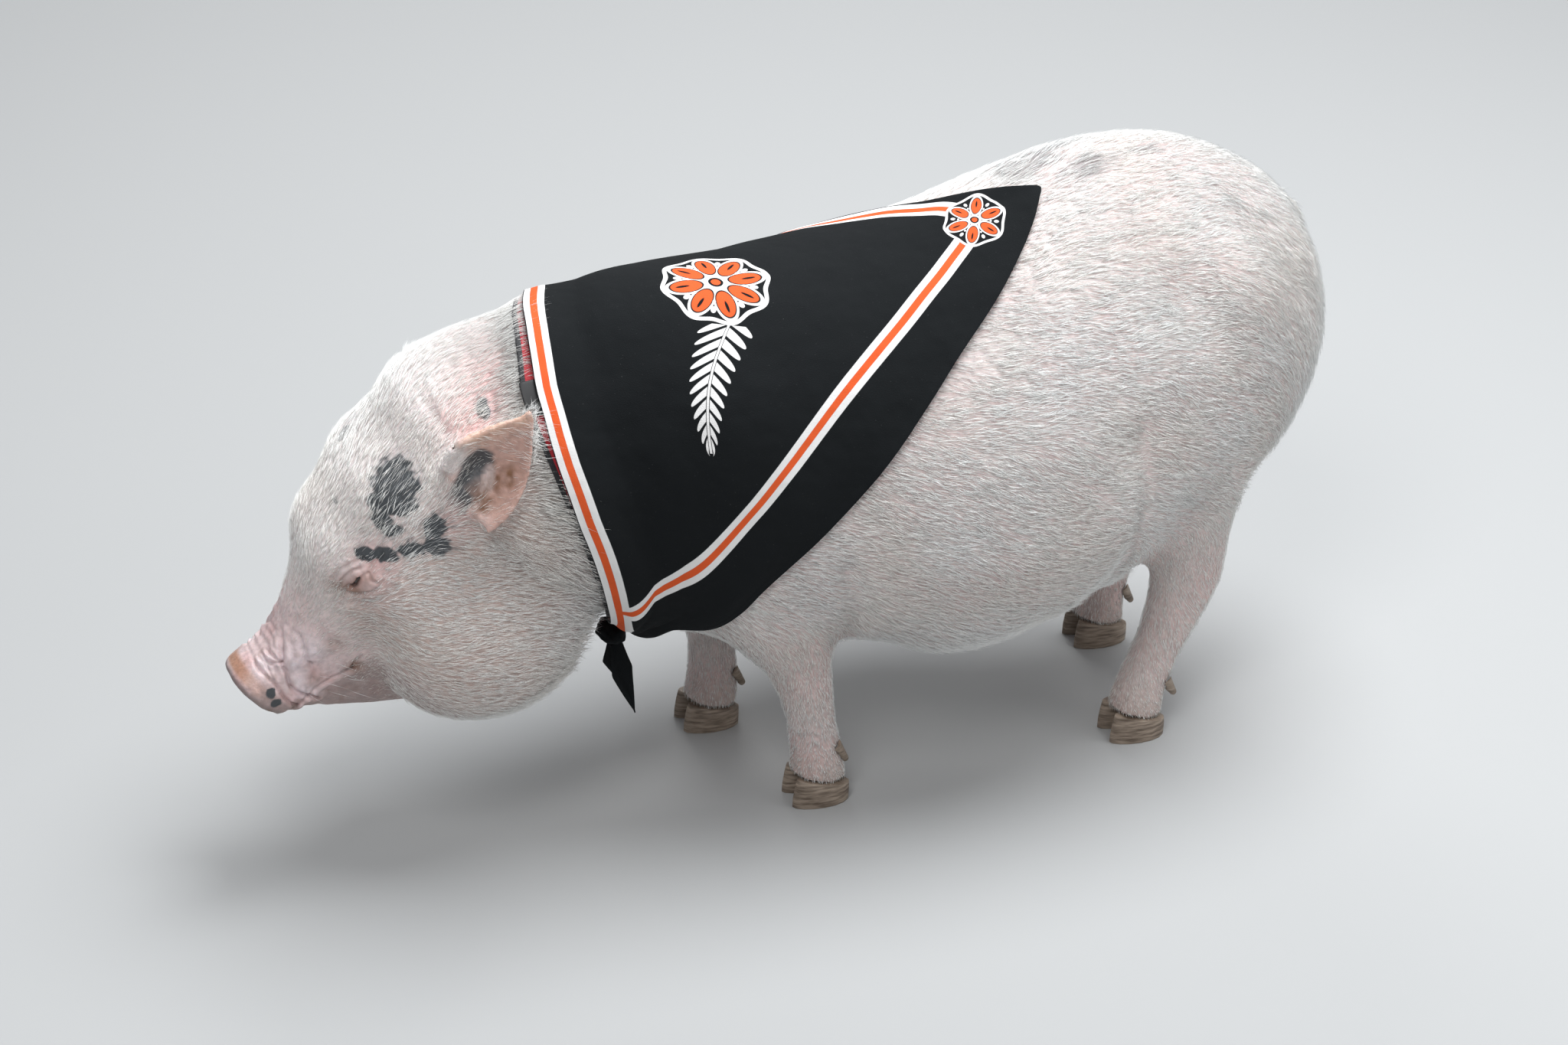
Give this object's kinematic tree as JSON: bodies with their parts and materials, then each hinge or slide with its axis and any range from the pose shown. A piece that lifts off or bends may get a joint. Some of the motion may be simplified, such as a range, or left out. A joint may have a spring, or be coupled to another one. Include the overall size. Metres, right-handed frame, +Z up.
{
  "type": "pot-bellied pig",
  "caption": "Life-size still model of a white pot-bellied pig standing with its head low, wearing a dark neckerchief and a red collar.",
  "frame": {"origin": "on the floor, under the middle of the animal's footprint box", "axes": "-X is where the animal faces, -Y is its left side, +Z is up"},
  "size_m": [0.9496, 0.3414, 0.5166],
  "materials": {
    "haired_skin": "white hair lying flat over pale pink skin, slate grey patches on the temple and back",
    "snout_skin": "bare pink skin, finely wrinkled, earth-stained at the rim",
    "horn": "dull horn, worn at the toe",
    "eye": "wet and dark",
    "cloth": "black cotton with a white and orange stripe along two edges",
    "collar_strap": "woven red nylon",
    "collar_slide": "moulded, satin"
  },
  "bodies": {
    "root": {"claw_front_left_inner": "horn", "claw_front_left_outer": "horn", "claw_front_right_inner": "horn", "claw_front_right_outer": "horn", "claw_hind_left_inner": "horn", "claw_hind_left_outer": "horn", "claw_hind_right_inner": "horn", "claw_hind_right_outer": "horn", "collar": "collar_strap", "collar_slide": "collar_slide", "dewclaw_front_left_inner": "horn", "dewclaw_front_left_outer": "horn", "dewclaw_front_right_inner": "horn", "dewclaw_front_right_outer": "horn", "dewclaw_hind_left_inner": "horn", "dewclaw_hind_left_outer": "horn", "dewclaw_hind_right_inner": "horn", "dewclaw_hind_right_outer": "horn", "ear_left": "haired_skin", "ear_right": "haired_skin", "eye_left": "eye", "eye_right": "eye", "head": "haired_skin", "leg_front_left": "haired_skin", "leg_front_right": "haired_skin", "leg_hind_left": "haired_skin", "leg_hind_right": "haired_skin", "neck": "haired_skin", "neckerchief": "cloth", "neckerchief_knot": "cloth", "neckerchief_tie_left": "cloth", "neckerchief_tie_right": "cloth", "snout": "snout_skin", "tail": "haired_skin", "torso": "haired_skin"}
  },
  "joints": []
}
